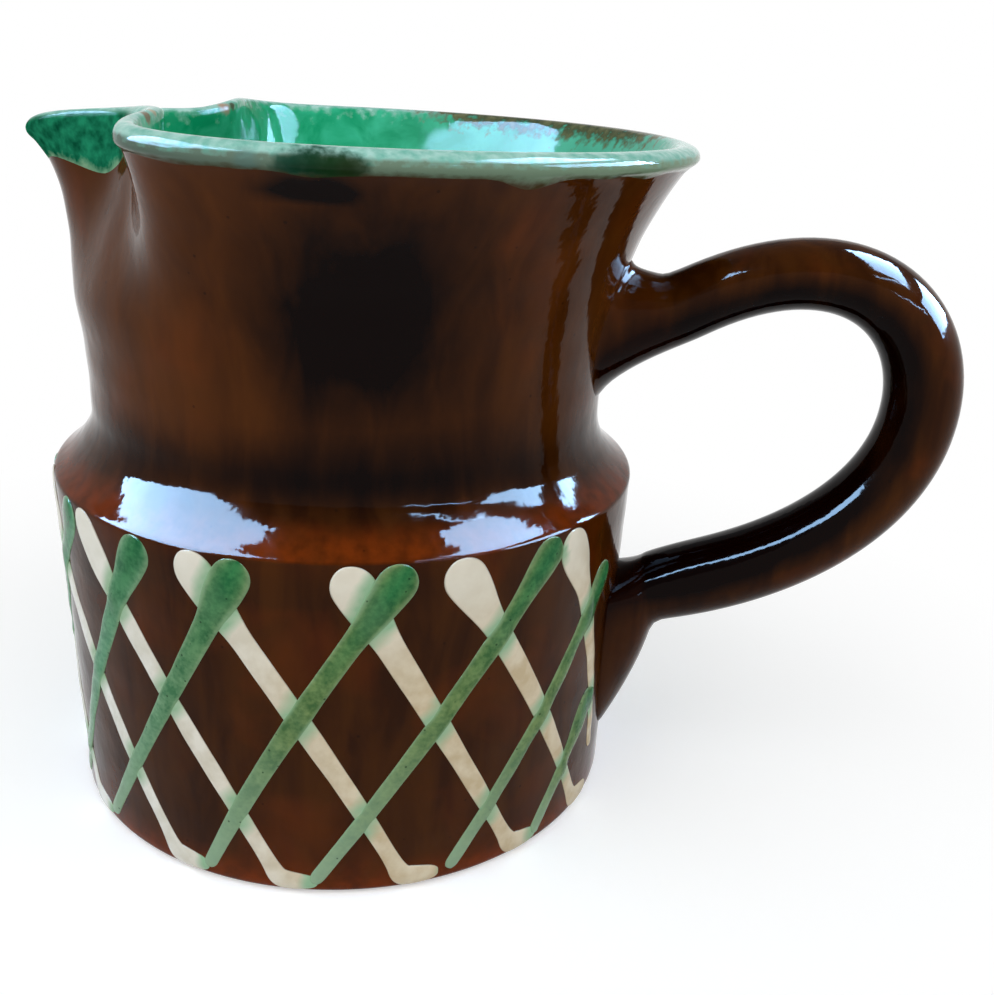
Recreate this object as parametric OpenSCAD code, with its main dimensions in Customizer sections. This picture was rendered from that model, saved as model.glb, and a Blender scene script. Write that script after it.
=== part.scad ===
// Lipped pouring jug of slip-trailed, lead-glazed earthenware, in millimetres, +Z up.
// The origin is the middle of the foot. The handle stands on +X, the pouring lip on -X.
// The body is one thrown piece with a pinched lip. The handle is pulled and luted on.
// White slip is trailed first, green slip is trailed over it, and the inside is lined green.

/* [Body] */
// Height of the rim above the table
rim_z = 110; // [106:1:118]
// Outer radius at the foot
foot_r = 47.1; // [44:0.1:50]
// Outer radius of the belly under the shoulder
belly_r = 48.5; // [46.5:0.1:52]
// Outer radius of the neck at its waist
waist_r = 42; // [39:0.1:44]
// Outer radius of the flared rim
rim_r = 55; // [52:0.1:58]
// Height of the shoulder's edge, where the belly ends
shoulder_z = 56.3; // [54:0.1:58]
// Height where the shoulder has turned into the neck
waist_z = 66.5; // [65:0.5:69]
// Clay thickness of the wall
wall_t = 3.6; // [3:0.1:5]
// Clay thickness of the floor
floor_t = 6; // [4:0.5:9]
// Rounding of the foot's lower edge
foot_round = 1.4; // [0.8:0.1:2]
// Inside rounding between floor and wall
floor_round = 8; // [5:0.5:12]

/* [Rim and pouring lip] */
// Height of the rolled bead on the rim
bead_h = 3.6; // [3:0.1:4.4]
// How far the bead stands out from the wall
bead_out = 0.6; // [0.5:0.1:1.2]
// How far each finger pinch pushes the rim in
pinch_in = 18; // [12:0.5:20]
// Angle of each pinch from the middle of the lip
pinch_angle = 38; // [34:1:42]
// Half the angle that one pinch takes up
pinch_spread = 20; // [16:1:22]
// Height where the pinches begin
pinch_z = 84; // [80:1:88]
// How far the pinch on the -Y side squeezes the rim upwards
near_rise = 2.9; // [0:0.1:4]
// How far the pinch on the +Y side squeezes the rim upwards
far_rise = 1.5; // [0:0.1:3]
// How far the whole rim stands higher on the -Y side
near_lift = 1.7; // [0:0.1:2.5]
// How far the tip of the lip hangs below the rim
lip_drop = 2.5; // [0:0.5:4]
// How far the tip of the lip is drawn in from the rim's circle
lip_in = 6.5; // [4:0.5:8]
// Turn of the lip away from dead opposite the handle
lip_turn = 10; // [-14:1:14]

/* [Green lining] */
// Thickness of the slip and glaze that line the jug
lining_t = 0.5; // [0.4:0.1:0.8]

/* [Handle] */
// Distance of the handle's middle line from the jug's axis at the outer bend
handle_out_r = 92.7; // [88:0.1:97]
// Height of the outer bend
handle_out_z = 73.3; // [71:0.1:76]
// Height of the upper root on the neck
root_z = 76.4; // [75:0.2:78]
// Height of the lower root on the belly
low_z = 36; // [34:0.5:38]
// Thickness of the bar beyond its upper root, seen from the side
bar_t = 9.8; // [9:0.1:12]
// Thickness of the bar at the outer bend
bend_t = 12; // [10:0.1:14]
// Thickness of the bar before its lower root
low_t = 13; // [11:0.1:14]
// How much thicker the bar is beside its upper root
root_swell = 2.5; // [1:0.1:4]
// How far the bar's upper side dips at its lower root
low_dip = 2; // [0:0.1:3]
// Width of the bar, seen from the end
bar_w = 13.6; // [11:0.1:16]
// Reach of the flared upper root above its middle
root_rise = 16.5; // [14:0.5:18]
// Reach of the flared upper root below its middle
root_fall = 7; // [6:0.5:9]
// Width of both roots on the clay
root_w = 19; // [17:0.5:21]
// Reach of the thumbed tail below the lower root
tail_drop = 28.5; // [24:0.5:30]
// Reach of the lower root above its middle
low_rise = 3; // [2.5:0.5:5]

/* [Slip lattice] */
// Gap between the shoulder's edge and the trails' upper ends
top_gap = 0.6; // [0.6:0.1:4]
// Height of the trails' lower ends
trail_foot_z = 2.2; // [2.2:0.1:6]
// Width of the round drop where a white trail starts
white_drop_w = 6.4; // [5:0.1:7]
// Width of a white trail below its drop
white_w = 4.7; // [3.6:0.1:5]
// Width of a white trail at its foot
white_foot_w = 2.1; // [1.8:0.1:2.6]
// Height of a white trail above the clay
white_h = 0.5; // [0.4:0.05:0.9]
// Angle round the belly that a white trail runs through
white_run = 37; // [34:1:40]
// Width of the round drop where a green trail starts
green_drop_w = 6.2; // [5:0.1:7]
// Width of a green trail below its drop
green_w = 4.2; // [3.4:0.1:4.8]
// Width of a green trail at its foot
green_foot_w = 2.3; // [2:0.1:3.2]
// Height of a green trail above what it lies on
green_h = 0.55; // [0.4:0.05:0.9]
// Angle round the belly that a green trail runs through
green_run = 38; // [34:1:40]

/* [Hidden] */
// Play between a piece and the clay that it is luted to
seat_gap = 0.06;
// Play between a green trail and the white trail under it
lap_gap = 0.04;
// How far a cutting trail reaches below the clay's surface
overrun = 1;
// Gap between the handle's root and the end of a trail
root_clear = 0.4;
// Counts of points: round the jug, round and along the handle, along a green trail, over a trail's dome
round_n = 48;
bar_n = 16;
bar_rings = 18;
green_stations = 18;
dome_n = 4;
// Angle by which the points around the jug crowd towards the lip
crowd = 20;
// Powers that shape the belly's swell, the shoulder, the neck's flare and the pinches
swell_power = 1.6;
shoulder_power = 2.2;
flare_power = 2.6;
fade_power = 1.3;
edge_power = 3;
// Powers that bulge the handle's tail, and crowd a green trail's sections at its drop
tail_power = 1.4;
drop_power = 1.25;
// Share of the drawing-in that the lip's edge throws out again
lip_throw_share = 0.3;
// Half the angle over which the lip is drawn in
tip_spread = 22;
// Angles from the lip's middle where the pinched rim stands highest on the -Y side and on the +Y side,
// and half the angles that these rises take up
near_angle = 42;
near_spread = 24;
far_angle = 56;
far_spread = 14;
// Half the angle of the drooping tip
droop_spread = 12;
// Angles on the bead where it meets the wall and where the green lining stops, below its widest line
bead_under = 40;
lining_edge = 5;
// Directions in which the handle leaves the neck and meets the belly
root_slope = 42.5;
low_slope = 9.4;
// Lengths of the handle's curve arms, as shares of its reach beyond the neck and belly
root_arm_share = 0.79;
bend_up_arm_share = 0.37;
bend_down_arm_share = 0.4;
low_arm_share = 0.43;
// Places along the handle where its bar stands free of the roots
free_first_share = 0.07;
free_last_share = 0.957;
// Distances over which the bar's swelling at the upper root and its dip at the lower one die away
swell_share = 0.12;
dip_share = 0.06;
// How far the blend ring at the upper root has moved along X and Y, and along Z under and over the bar
root_mix_shares = [0.4, 0.7];
root_lift_shares = [0.55, 0.75];
// Places of the blend rings between the bar's lower end and the rim of its tail
tail_shares = [0.25, 0.5, 0.75];
// Sizes of the rings that fill the roots' faces on the clay
cap_shares = [0.35, 0.7];
// Hand-laid places of the trails round the belly, as shares of the even spacing
white_place_shares =
    [0, 0.96, 1.69, 2.75, 3.81, 4.74, 5.76, 6.74, 7.79, 8.78, 9.82, 10.74, 11.79, 12.81];
green_place_shares =
    [0, 0.96, 2.17, 3.39, 4.55, 5.35, 6.27, 7.27, 8.27, 9.2, 10.2, 11.15, 12.1, 13.05, 14.04];
white_n = len(white_place_shares);
green_n = len(green_place_shares);
// Hand-laid slants of the trails, as shares of the usual run
white_run_shares = [0.55, 0.99, 0.94, 1.05, 1.17, 1.24, 1.2, 1.05, 0.97, 1, 1.04, 0.96, 1.02, 0.98];
green_run_shares = [1.36, 1.29, 1.2, 0.97, 0.95, 0.9, 0.97, 1.03, 0.98, 1.05, 0.9, 0.96, 1.04, 1, 1.02];
// Places along a white trail where its section is set
white_station_shares = [0, 0.025, 0.055, 0.1, 0.16, 0.28, 0.41, 0.54, 0.67, 0.8, 0.9, 0.94, 0.97, 1];
// Share of a white trail's length where its foot starts to drag sideways
bend_share = 0.92;
// Angle through which the foot of a white trail drags
white_drag = 7;
// Distance over which a drop narrows to its trail, counted in widths of the drop
drop_taper = 1.6;
// Least widths at the very start and foot of a trail, as shares of its width there
start_share = 0.35;
foot_share = 0.55;
// How much wider a green trail spreads where it lies on a white one
lap_wider_share = 0.15;
// How far past its ends a green trail still counts as meeting a white one
meet_share = 0.15;
// Bows of the trails to the side that they run to, as shares of their run
white_bow_shares = [0.1, 0.12, 0.02, 0.22, 0.22, 0.15, 0.1, 0.06, 0.1, 0.14, 0.08, 0.12, 0.06, 0.1];
green_bow_shares =
    [0.1, 0.1, 0.08, 0.2, -0.12, 0.05, 0.08, 0.02, 0.1, 0.05, 0.12, 0.04, 0.08, 0.1, 0.05];
// Angles where the first white trail and the first green trail start
white_first = -32.1;
green_first = 17.1;

bead_z = rim_z - bead_h / 2;
half_t = wall_t / 2;
lip_angle = 180 + lip_turn;
neck_x = waist_r + seat_gap;
trail_top_z = shoulder_z - top_gap;

function numbered(name, k) = str(name, k < 10 ? "0" : "", k);
function clamp(t) = min(1, max(0, t));
function ease(t) = (1 - cos(180 * clamp(t))) / 2;
function mix(a, b, t) = a + (b - a) * t;

// Radius of the plain thrown jug at a height: swelling belly, shoulder, waist, flared neck
function belly_at(z) = foot_r + (belly_r - foot_r) * pow(clamp(z / shoulder_z), swell_power);
function flare_at(z) = (rim_r - waist_r) * pow(max(0, z - waist_z) / (rim_z - waist_z), flare_power);
function turned_in(t) = 1 - pow(1 - clamp(t), shoulder_power);
function plain_r(z) =
    mix(belly_at(z), waist_r, turned_in((z - shoulder_z) / (waist_z - shoulder_z))) + flare_at(z);

// Shape of the pinched lip, by the angle from the lip's middle
function from_lip(a) = let (d = abs(a) % 360) d > 180 ? 360 - d : d;
function pinch(a) = exp(-pow(abs(from_lip(a) - pinch_angle) / pinch_spread, edge_power));
function hump(d, spread) = exp(-pow(d / spread, 2));
function tip(a) = hump(from_lip(a), tip_spread);
function fade(z) = pow(clamp((z - pinch_z) / (bead_z - pinch_z)), fade_power);
function pushed_in(a, z) = let (f = fade(z)) f * (pinch_in * pinch(a)
    + lip_in * tip(a) * (1 - lip_throw_share * pow(f, edge_power)));
function rise(a) = sin(a) > 0
    ? near_lift * sin(a) + near_rise * hump(from_lip(a) - near_angle, near_spread)
    : far_rise * hump(from_lip(a) - far_angle, far_spread);
function lifted(a, z) = fade(z) * (rise(a) - lip_drop * hump(from_lip(a), droop_spread));

// One ring round the jug from a station [height, inset from the outer wall, added height]
function crowded(j) = let (u = 360 * j / round_n) u - crowd * sin(u);
function jug_point(a, s) =
    let (r = plain_r(s[0]) - pushed_in(a, s[0]) - s[1], turn = lip_angle + a)
    [r * cos(turn), r * sin(turn), s[0] + s[2] + lifted(a, s[0])];
function jug_ring(s) = [for (j = [0:round_n - 1]) jug_point(crowded(j), s)];

// Stations of the outer wall, from below the foot's flat to the lining's edge on the bead
foot_below = foot_round * (1 - sin(45));
function foot_stations() = concat(
    [[foot_round, foot_round * (1 + cos(45)), -foot_round - foot_below]],
    [for (b = [45, 0]) [foot_round, foot_round * (1 - cos(b)), -foot_round * sin(b)]]);
function rising(z_from, z_to, n, inset) = [for (i = [1:n]) [mix(z_from, z_to, i / n), inset, 0]];
function outer_stations() = concat(
    foot_stations(),
    rising(foot_round, shoulder_z, 8, 0),
    rising(shoulder_z, waist_z, 6, 0),
    rising(waist_z, pinch_z, 2, 0),
    rising(pinch_z, bead_z - bead_h / 2, 6, 0),
    [for (b = [-bead_under, -lining_edge]) bead_station(b, lining_t)]);

// Stations over the bead; the lining stands skin outside the clay
function bead_station(b, skin) =
    let (half_w = b < 90 ? half_t + bead_out - lining_t + skin : half_t + skin)
    [bead_z, half_t - half_w * cos(b), (bead_h / 2 - lining_t + skin) * sin(b)];
function bead_stations(skin) =
    [for (b = [-lining_edge, 30, 65, 100, 140]) bead_station(b, skin)];

// Stations down the inside wall and round the corner onto the floor
function inner_stations(skin) = let (inset = wall_t + skin) concat(
    rising(bead_z, pinch_z, 5, inset),
    rising(pinch_z, waist_z, 1, inset),
    rising(waist_z, shoulder_z, 4, inset),
    [for (b = [0, 45, 90])
        [floor_t + floor_round, wall_t + floor_round - (floor_round - skin) * cos(b),
            -(floor_round - skin) * sin(b)]]);

// Closed skin through rings of points, from a first pole to a last pole
module skin_through(rings, first_pole, last_pole) {
    m = len(rings[0]);
    n = len(rings);
    points = concat([first_pole], [for (ring = rings) each ring], [last_pole]);
    last = len(points) - 1;
    function at(i, j) = 1 + i * m + j % m;
    faces = concat(
        [for (j = [0:m - 1]) [0, at(0, j), at(0, j + 1)]],
        [for (i = [0:n - 2], j = [0:m - 1]) each [
            [at(i, j), at(i + 1, j), at(i + 1, j + 1)],
            [at(i, j), at(i + 1, j + 1), at(i, j + 1)]]],
        [for (j = [0:m - 1]) [last, at(n - 1, j + 1), at(n - 1, j)]]);
    polyhedron(points, faces, convexity = 10);
}

// What the wire leaves on the wheel: everything under the foot's flat
module wheel_head() {
    translate([-rim_r, -rim_r, -2 * foot_round]) cube([2 * rim_r, 2 * rim_r, 2 * foot_round]);
}

module jug_body() {
    stations = concat(outer_stations(), bead_stations(0), inner_stations(0));
    color("#3a1f12") difference() {
        skin_through([for (s = stations) jug_ring(s)], [0, 0, -foot_below], [0, 0, floor_t]);
        wheel_head();
    }
}

function reversed(list) = [for (i = [len(list) - 1:-1:0]) list[i]];

module green_lining() {
    under = reversed(concat(bead_stations(0), inner_stations(0)));
    over = concat(bead_stations(lining_t), inner_stations(lining_t));
    color("#5f9a78")
        skin_through([for (s = concat(under, over)) jug_ring(s)],
            [0, 0, floor_t], [0, 0, floor_t + lining_t]);
}

// Middle line of the handle, two curves that meet upright at the outer bend
reach = handle_out_r - neck_x;
root_at = [neck_x, root_z];
bend_at = [handle_out_r, handle_out_z];
low_at = [plain_r(low_z) + seat_gap, low_z];
function curve(p, t) = p[0] * pow(1 - t, 3) + 3 * p[1] * t * pow(1 - t, 2)
    + 3 * p[2] * t * t * (1 - t) + p[3] * pow(t, 3);
upper_arms = [root_at,
    root_at + reach * root_arm_share * [cos(root_slope), sin(root_slope)],
    bend_at + [0, reach * bend_up_arm_share], bend_at];
lower_arms = [bend_at, bend_at - [0, reach * bend_down_arm_share],
    low_at + reach * low_arm_share * [cos(low_slope), sin(low_slope)], low_at];
function middle(u) = u < 1 / 2 ? curve(upper_arms, 2 * u) : curve(lower_arms, 2 * u - 1);
step_share = 0.01;
function along(u) = let (d = middle(u + step_share) - middle(u - step_share)) d / norm(d);

// Rings of the free bar, and rings that lie on the clay at both roots
function bar_angle(j) = 360 * j / bar_n;
function bar_deep(u) = root_swell * exp(-u / swell_share)
    + (u < 1 / 2 ? mix(bar_t, bend_t, ease(2 * u)) : mix(bend_t, low_t, ease(2 * u - 1)));
function bar_ring(u) =
    let (c = middle(u), t = along(u), deep = bar_deep(u) / 2,
        dip = low_dip * hump(1 - u, dip_share))
    [for (j = [0:bar_n - 1]) let (b = bar_angle(j), d = cos(b) * (cos(b) < 0 ? deep - dip : deep))
        [c[0] - d * t[1], -bar_w / 2 * sin(b), c[1] + d * t[0]]];
function on_clay(y, z) = [sqrt(pow(plain_r(z), 2) - y * y) + seat_gap, y, z];
function root_ring(size) = [for (j = [0:bar_n - 1])
    let (b = bar_angle(j), up = cos(b) > 0 ? root_rise : root_fall)
    on_clay(-size * root_w / 2 * sin(b), root_z + size * up * cos(b))];
function tail_ring(size) = [for (j = [0:bar_n - 1])
    let (b = bar_angle(j), down = cos(b) > 0 ? tail_drop : low_rise)
    on_clay(-size * root_w / 2 * sin(b), low_z - size * down * cos(b))];
function mixed(p, q, t) = [for (i = [0:2]) mix(p[i], q[i], t[i])];
function root_blend(ring_a, ring_b) = [for (j = [0:bar_n - 1])
    let (lift = mix(root_lift_shares[0], root_lift_shares[1], (1 + cos(bar_angle(j))) / 2))
    mixed(ring_a[j], ring_b[j], concat(root_mix_shares, [lift]))];
function tail_blend(ring_a, ring_b, t) =
    [for (j = [0:bar_n - 1]) mixed(ring_a[j], ring_b[j], [pow(t, tail_power), t, t])];

module handle() {
    free = [for (i = [0:bar_rings]) bar_ring(mix(free_first_share, free_last_share, i / bar_rings))];
    rings = concat(
        [for (s = cap_shares) root_ring(s)],
        [root_ring(1), root_blend(root_ring(1), free[0])],
        free,
        [for (t = tail_shares) tail_blend(free[bar_rings], tail_ring(1), t)],
        [tail_ring(1)],
        [for (s = reversed(cap_shares)) tail_ring(s)]);
    color("#3a1f12") skin_through(rings, on_clay(0, root_z), on_clay(0, low_z));
}

// A trail is laid as [start angle, signed run, first share of the run, last share, drag, bow].
// The handle's root stops a trail that runs into it, and one that comes from under it starts there.
root_half = asin((root_w / 2 + white_w / 2 + root_clear) / belly_r);
function wrapped(a) = a - 360 * round(a / 360);
function laid(start, run, drag, bow) =
    let (a = wrapped(start), s_into = (-sign(run) * root_half - a) / run,
        s_past = (sign(run) * root_half - a) / run)
    s_into > 0 && s_into < 1 && s_past > 1 ? [a, run, 0, s_into, 0, bow]
        : s_past > 0 && s_past < 1 ? [a, run, s_past, 1, drag, bow] : [a, run, 0, 1, drag, bow];
function white_laid(k) = laid(white_first - white_place_shares[k - 1] * 360 / white_n,
    white_run * white_run_shares[k - 1], white_drag, white_bow_shares[k - 1]);
function green_laid(k) = laid(green_first - green_place_shares[k - 1] * 360 / green_n,
    -green_run * green_run_shares[k - 1], 0, green_bow_shares[k - 1]);

function trail_angle(trail, s) = trail[0] + trail[1] * (s + trail[5] * s * (1 - s));

// Middle line of a trail as [angle, height] at a share of its own length, and its sideways direction
function path(trail, u) =
    let (bend = trail[4] > 0 ? bend_share : 1, s = mix(trail[2], trail[3], min(u / bend, 1)))
    [trail_angle(trail, s) + trail[4] * max(0, u - bend) / max(1 - bend, step_share),
        mix(trail_top_z, trail_foot_z, s)];
function arc_mm(angle) = belly_r * angle * PI / 180;
function path_side(trail, u) =
    let (p = path(trail, u + step_share) - path(trail, u - step_share), d = [arc_mm(p[0]), p[1]])
    [-d[1], d[0]] / norm(d);
function trail_length(trail) =
    (trail[3] - trail[2]) * norm([arc_mm(trail[1]), trail_top_z - trail_foot_z]);

// Point on a trail: share of its length, sideways offset, height above its seat
function trail_point(trail, u, side, h) =
    let (p = path(trail, u), q = path_side(trail, u) * side, z = p[1] + q[1],
        a = p[0] + q[0] / arc_mm(1), r = plain_r(z) + seat_gap + h)
    [r * cos(a), r * sin(a), z];

// Width of a trail along its length: a round drop, the taper below it, a rounded foot
function rounded(x, w) = sqrt(1 - pow(1 - clamp(2 * x / w), 2));
function trail_width(x, length, size) =
    mix(size[0], mix(size[1], size[2], x / length), ease((x / size[0] - 1 / 2) / drop_taper))
        * max(start_share, rounded(x, size[0])) * max(foot_share, rounded(length - x, size[2]));

// Rings of a trail: a low dome, with the points of its underside given as [side share, height]
function trail_rings(trail, stations, size, laps, grow, under) =
    let (length = trail_length(trail))
    [for (u = stations) let (
            lap = max(concat([0], [for (c = laps) hump((u - c) * length, white_w)])),
            plain_w = trail_width(u * length, length, size),
            half_w = plain_w * (1 + lap_wider_share * lap) / 2 + grow,
            h = size[3] * sqrt(plain_w / size[1]) + lap * white_h + grow)
        concat(
            [for (j = [0:dome_n]) let (b = 180 * j / dome_n)
                trail_point(trail, u, half_w * cos(b), h * sin(b))],
            [for (p = under) trail_point(trail, u, p[0] * half_w, p[1])])];

module trail_solid(trail, stations, size, laps = [], grow = 0, under = [[0, 0]]) {
    rings = trail_rings(trail, stations, size, laps, grow, under);
    skin_through(rings, trail_point(trail, stations[0], 0, under[0][1] / 2),
        trail_point(trail, stations[len(stations) - 1], 0, under[0][1] / 2));
}

white_size = [white_drop_w, white_w, white_foot_w, white_h];
green_size = [green_drop_w, green_w, green_foot_w, green_h];
green_shares = [for (i = [0:green_stations]) pow(i / green_stations, drop_power)];

module white_trail(k) {
    color("#e9e0cf") trail_solid(white_laid(k), white_station_shares, white_size);
}

// Share of a green trail's length at which it crosses a white one, found in two steps
function apart(green, white, s) =
    wrapped(trail_angle(green, s) - trail_angle(white, s)) / (white[1] - green[1]);
function crossing(green, white) =
    let (s = clamp(apart(green, white, 0)), run_share = s + apart(green, white, s))
    (run_share - green[2]) / (green[3] - green[2]);
function meets(c) = c > -meet_share && c < 1 + meet_share;

module green_trail(k) {
    green = green_laid(k);
    whites = [for (i = [1:white_n]) let (w = white_laid(i)) if (meets(crossing(green, w))) w];
    laps = [for (w = whites) crossing(green, w)];
    color("#5f9a78") difference() {
        trail_solid(green, green_shares, green_size, laps);
        for (w = whites)
            trail_solid(w, white_station_shares, white_size, grow = lap_gap,
                under = [[-1, -overrun], [1, -overrun]]);
    }
}

jug_body();
handle();
green_lining();
for (k = [1:white_n]) white_trail(k);
for (k = [1:green_n]) green_trail(k);
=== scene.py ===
# Looks of a slip-trailed, lead-glazed earthenware pouring jug, in metres, +Z up.
# The origin is the middle of the foot. The handle stands on +X, the pouring lip on -X.
from collections import namedtuple
from functools import partial
from math import asin, atan2, copysign, cos, exp, hypot, pi, radians, sin, sqrt, tau

import bmesh
import bpy
from mathutils import Matrix, Vector, kdtree, noise


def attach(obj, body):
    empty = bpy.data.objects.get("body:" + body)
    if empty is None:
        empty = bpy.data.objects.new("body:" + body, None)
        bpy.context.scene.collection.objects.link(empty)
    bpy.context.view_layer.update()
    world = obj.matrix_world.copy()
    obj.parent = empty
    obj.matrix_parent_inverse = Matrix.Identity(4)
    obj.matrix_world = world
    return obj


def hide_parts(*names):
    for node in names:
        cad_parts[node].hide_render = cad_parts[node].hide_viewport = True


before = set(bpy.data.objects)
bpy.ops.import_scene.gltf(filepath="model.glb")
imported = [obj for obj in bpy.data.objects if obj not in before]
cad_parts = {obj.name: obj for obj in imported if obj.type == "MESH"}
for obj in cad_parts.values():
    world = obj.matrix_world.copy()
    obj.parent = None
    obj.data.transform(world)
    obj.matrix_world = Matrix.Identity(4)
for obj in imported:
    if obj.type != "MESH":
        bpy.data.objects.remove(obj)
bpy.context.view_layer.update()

MM = 0.001

# Thrown body
RIM_Z = 110 * MM
FOOT_R = 47.1 * MM
BELLY_R = 48.5 * MM
WAIST_R = 42 * MM
RIM_R = 55 * MM
SHOULDER_Z = 56.3 * MM
WAIST_Z = 66.5 * MM
WALL_T = 3.6 * MM
FLOOR_T = 6 * MM
FOOT_ROUND = 1.4 * MM
FLOOR_ROUND = 8 * MM
SOLE_SHARES = (0, 0.2, 0.5, 0.8)
FLOOR_SHARES = (0.7, 0.4, 0.15, 0)
SOLE_NORMAL_Z = -0.9
SWELL_POWER = 1.6
SHOULDER_POWER = 2.2
FLARE_POWER = 2.6

# Unevenness that the potter's hands and the wheel leave in the wall
THROW_PITCH = 7 * MM
THROW_DEPTH = 0.05 * MM
DENT_SIZE = 17 * MM
DENT_DEPTH = 0.12 * MM
# Fine ridges on the shoulder's shelf, and the rounding of its edge
SHELF_Z = 61 * MM
SHELF_PITCH = 2.3 * MM
SHELF_DEPTH = 0.025 * MM
EDGE_ROUND = 0.7 * MM

# Rim bead, with angles round it, and pouring lip, with angles from its middle
BEAD_H = 3.6 * MM
BEAD_OUT = 0.6 * MM
BEAD_Z = RIM_Z - BEAD_H / 2
BEAD_UNDER = radians(-40)
BEAD_TOP = radians(90)
BEAD_INNER = radians(140)
LIP_TURN = radians(190)
PINCH_IN = 18 * MM
PINCH_ANGLE = radians(38)
PINCH_SPREAD = radians(20)
PINCH_Z = 84 * MM
NEAR_LIFT = 0.85 * MM
NEAR_RISE = 1.9 * MM
FAR_RISE = 1.5 * MM
LIP_DROP = 2.5 * MM
LIP_IN = 7.5 * MM
LIP_THROW_SHARE = 0.3
TIP_SPREAD = radians(22)
NEAR_ANGLE = radians(42)
NEAR_SPREAD = radians(24)
FAR_ANGLE = radians(51)
FAR_SPREAD = radians(13)
DROOP_SPREAD = radians(12)
FADE_POWER = 1.3
EDGE_POWER = 3

# Green lining: its skin, how deep it bites into the clay and how far it runs down outside
LINING_T = 0.5 * MM
BITE = 0.3 * MM
RUN_PLAIN = 1.5 * MM
RUN_RAGGED = 0.5 * MM
RUN_LIP = 3 * MM
TIP_BARE_ANGLE = radians(10)
LIP_COAT_ANGLE = radians(33)
LIP_COAT_FADE = radians(7)
FAR_COAT_SHARE = 0.1
# Glaze runs below the rim as angle, half width and depth
GLAZE_RUNS = [
    (radians(27), radians(7.5), 2.4 * MM),
    (radians(121), radians(3.5), 1.2 * MM),
    (radians(92), radians(4), 0.5 * MM),
    (radians(-38), radians(4), 0.8 * MM),
    (radians(-84), radians(4), 1 * MM),
    (radians(163), radians(4), 0.8 * MM),
]
APRON_SHARES = (0.15, 0.3, 0.45, 0.6, 0.75, 0.88, 0.96, 1)
# How deep the brown fringe on the back of the rim reaches into the jug
FRINGE_DEPTH = 2.6 * MM
# How far the coat has thinned where it leaves the bead; at its ragged edge the share is 1
STRIP_SHARE = 0.35
# Marks on the lining, by the way over the bead from the rim's top, and the angles of the brown fringe
PALE_FROM = 0.1 * MM
PALE_FADE = 1.4 * MM
COAT_FROM = 0.5 * MM
COAT_FADE = 0.9 * MM
THIN_FROM = 0.95 * MM
THIN_FADE = 0.6 * MM
FRINGE_ANGLE = radians(-135)
FRINGE_HALF = radians(56)
FRINGE_FADE = radians(40)
RAGGED_LENGTH = 6 * MM
LINING_LAYERS = ("depth", "apron", "skin")
# Chips and dark runs on the bead: degrees from the lip and round the bead, size in mm, colour, strength
RIM_MARKS = [
    (-41, 130, 1.6, "#b79a84", 1),
    (-45, 140, 1, "#5e4a3a", 0.8),
    (54, 130, 1.3, "#7a5a34", 0.9),
    (51, 120, 0.9, "#b3a383", 0.9),
    (88, -25, 2.3, "#1a4534", 0.85),
    (90, -15, 3, "#164130", 0.9),
    (92, -15, 3.3, "#11371f", 0.9),
    (94, -20, 3, "#17371a", 0.9),
    (96, -25, 2.4, "#1e3216", 0.85),
    (83, -10, 1.9, "#5f8078", 0.6),
]

# Handle
HANDLE_OUT_R = 92.7 * MM
HANDLE_OUT_Z = 73.3 * MM
ROOT_Z = 76.4 * MM
LOW_Z = 36 * MM
BAR_T = 9.8 * MM
BEND_T = 12 * MM
LOW_T = 13 * MM
ROOT_SWELL = 2.5 * MM
LOW_DIP = 2 * MM
BAR_W = 13.6 * MM
ROOT_RISE = 16.5 * MM
ROOT_FALL = 7 * MM
ROOT_W = 19 * MM
TAIL_DROP = 28.5 * MM
LOW_RISE = 3 * MM
ROOT_SLOPE = radians(42.5)
LOW_SLOPE = radians(9.4)
ROOT_ARM_SHARE = 0.79
BEND_UP_ARM_SHARE = 0.37
BEND_DOWN_ARM_SHARE = 0.4
LOW_ARM_SHARE = 0.43
FREE_SHARES = (0.07, 0.957)
SWELL_SHARE = 0.12
DIP_SHARE = 0.06
# Powers by which the roots' skin leaves the clay outwards, sideways, and up or down
ROOT_OUT_POWER = 1.32
ROOT_SIDE_POWER = 0.52
ROOT_LIFT_POWERS = (0.86, 0.42)
TAIL_POWER = 1.4
ROOT_SHARES = (0.4, 0.75, 0.93, 1)
# Handle glaze: cosines between which painted shade darkens its inner side, painted shade low down, thin
# places
INNER_SHADE_FROM = 0.35
INNER_SHADE_FADE = 0.7
LOW_SHADE = 0.3
LOW_SHADE_FROM = 0.55
LOW_SHADE_FADE = 0.3
BLEND_THIN = 0.05
TAIL_THIN = 0.1

# Slip lattice
TRAIL_TOP_Z = SHOULDER_Z - 0.6 * MM
TRAIL_FOOT_Z = 2.2 * MM
WHITE_RUN = radians(37)
GREEN_RUN = radians(38)
WHITE_FIRST = radians(-32.1)
GREEN_FIRST = radians(17.1)
WHITE_DRAG = radians(7)
BEND_SHARE = 0.92
BEND_SOFT_SHARE = 0.025
DROP_TAPER = 1.6
START_SHARE = 0.12
FOOT_SHARE = 0.55
LAP_WIDER_SHARE = 0.15
ROOT_CLEAR = 0.4 * MM
TRAIL_BITE = 0.45 * MM
STEP_SHARE = 0.01
FOOT_CLEAR = 0.2 * MM
# Where the finer stations of a foot start, and how the others crowd towards the drop
FOOT_FROM_SHARE = 0.87
DROP_CROWDING = 1.6
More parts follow.
